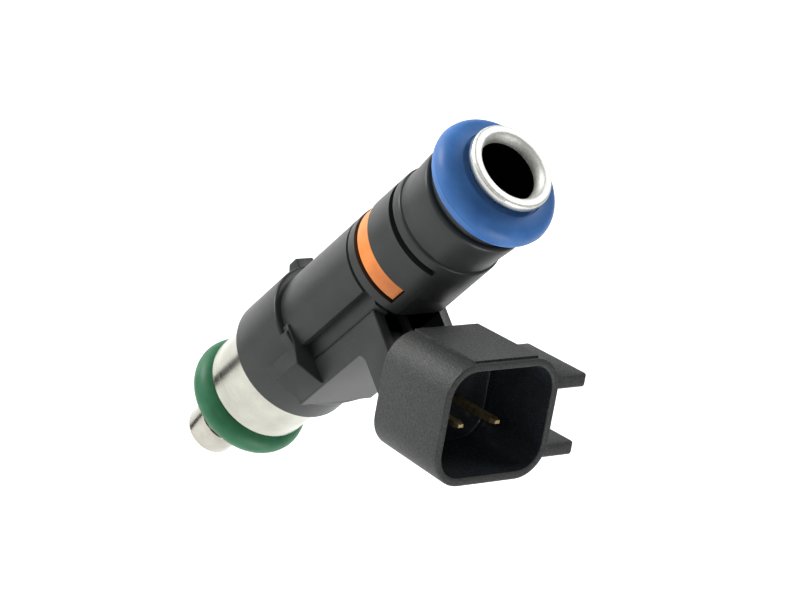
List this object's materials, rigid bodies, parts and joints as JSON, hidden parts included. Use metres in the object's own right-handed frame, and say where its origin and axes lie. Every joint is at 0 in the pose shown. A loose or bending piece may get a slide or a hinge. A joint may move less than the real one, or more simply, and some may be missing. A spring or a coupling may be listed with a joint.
{
  "type": "fuel injector",
  "caption": "Slim solenoid fuel injector with sealing rings at both ends and a slanted two-pin connector; a sprung needle lifts to spray fuel.",
  "frame": {"origin": "on the injector's axis, in the plane of the nozzle cap's end face", "axes": "+Z along the injector from the nozzle to the fuel inlet; +X towards the connector; Y across the two terminals"},
  "size_m": [0.0342, 0.0192, 0.0612],
  "materials": {
    "valve_sleeve": "bright drawn",
    "pole_core": "turned",
    "adjusting_tube": "rolled",
    "return_spring": "drawn wire",
    "armature": "turned",
    "needle_tube": "ground",
    "valve_ball": "polished bearing steel",
    "seat_body": "ground",
    "spray_plate": "rolled sheet",
    "nozzle_cap": "bright drawn",
    "upper_o_ring": "smooth moulded",
    "lower_o_ring": "smooth moulded",
    "seal_backup_ring": "moulded",
    "seal_retainer": "moulded",
    "inlet_filter_collar": "pressed",
    "inlet_filter_cage": "moulded",
    "inlet_filter_mesh": "woven",
    "magnet_housing": "deep drawn",
    "magnet_washer": "stamped",
    "coil_bobbin": "moulded",
    "coil_winding": "enamelled copper wire",
    "terminal_left": "tinned",
    "terminal_right": "tinned",
    "body_moulding": "satin, spark-textured connector",
    "identification_ring": "satin"
  },
  "bodies": {
    "injector": {"valve_sleeve": "valve_sleeve", "pole_core": "pole_core", "adjusting_tube": "adjusting_tube", "return_spring": "return_spring", "seat_body": "seat_body", "spray_plate": "spray_plate", "nozzle_cap": "nozzle_cap", "upper_o_ring": "upper_o_ring", "lower_o_ring": "lower_o_ring", "seal_backup_ring": "seal_backup_ring", "seal_retainer": "seal_retainer", "inlet_filter_collar": "inlet_filter_collar", "inlet_filter_cage": "inlet_filter_cage", "inlet_filter_mesh": "inlet_filter_mesh", "magnet_housing": "magnet_housing", "magnet_washer": "magnet_washer", "coil_bobbin": "coil_bobbin", "coil_winding": "coil_winding", "terminal_left": "terminal_left", "terminal_right": "terminal_right", "body_moulding": "body_moulding", "identification_ring": "identification_ring"},
    "needle": {"armature": "armature", "needle_tube": "needle_tube", "valve_ball": "valve_ball"}
  },
  "joints": [
    {"name": "needle_lift", "type": "slide", "parent": "injector", "child": "needle", "axis": [0, 0, 1], "range_m": [0, 0.00008], "stiffness_N_per_m": 2000, "springref_m": -0.002, "deforming": ["return_spring"]}
  ]
}
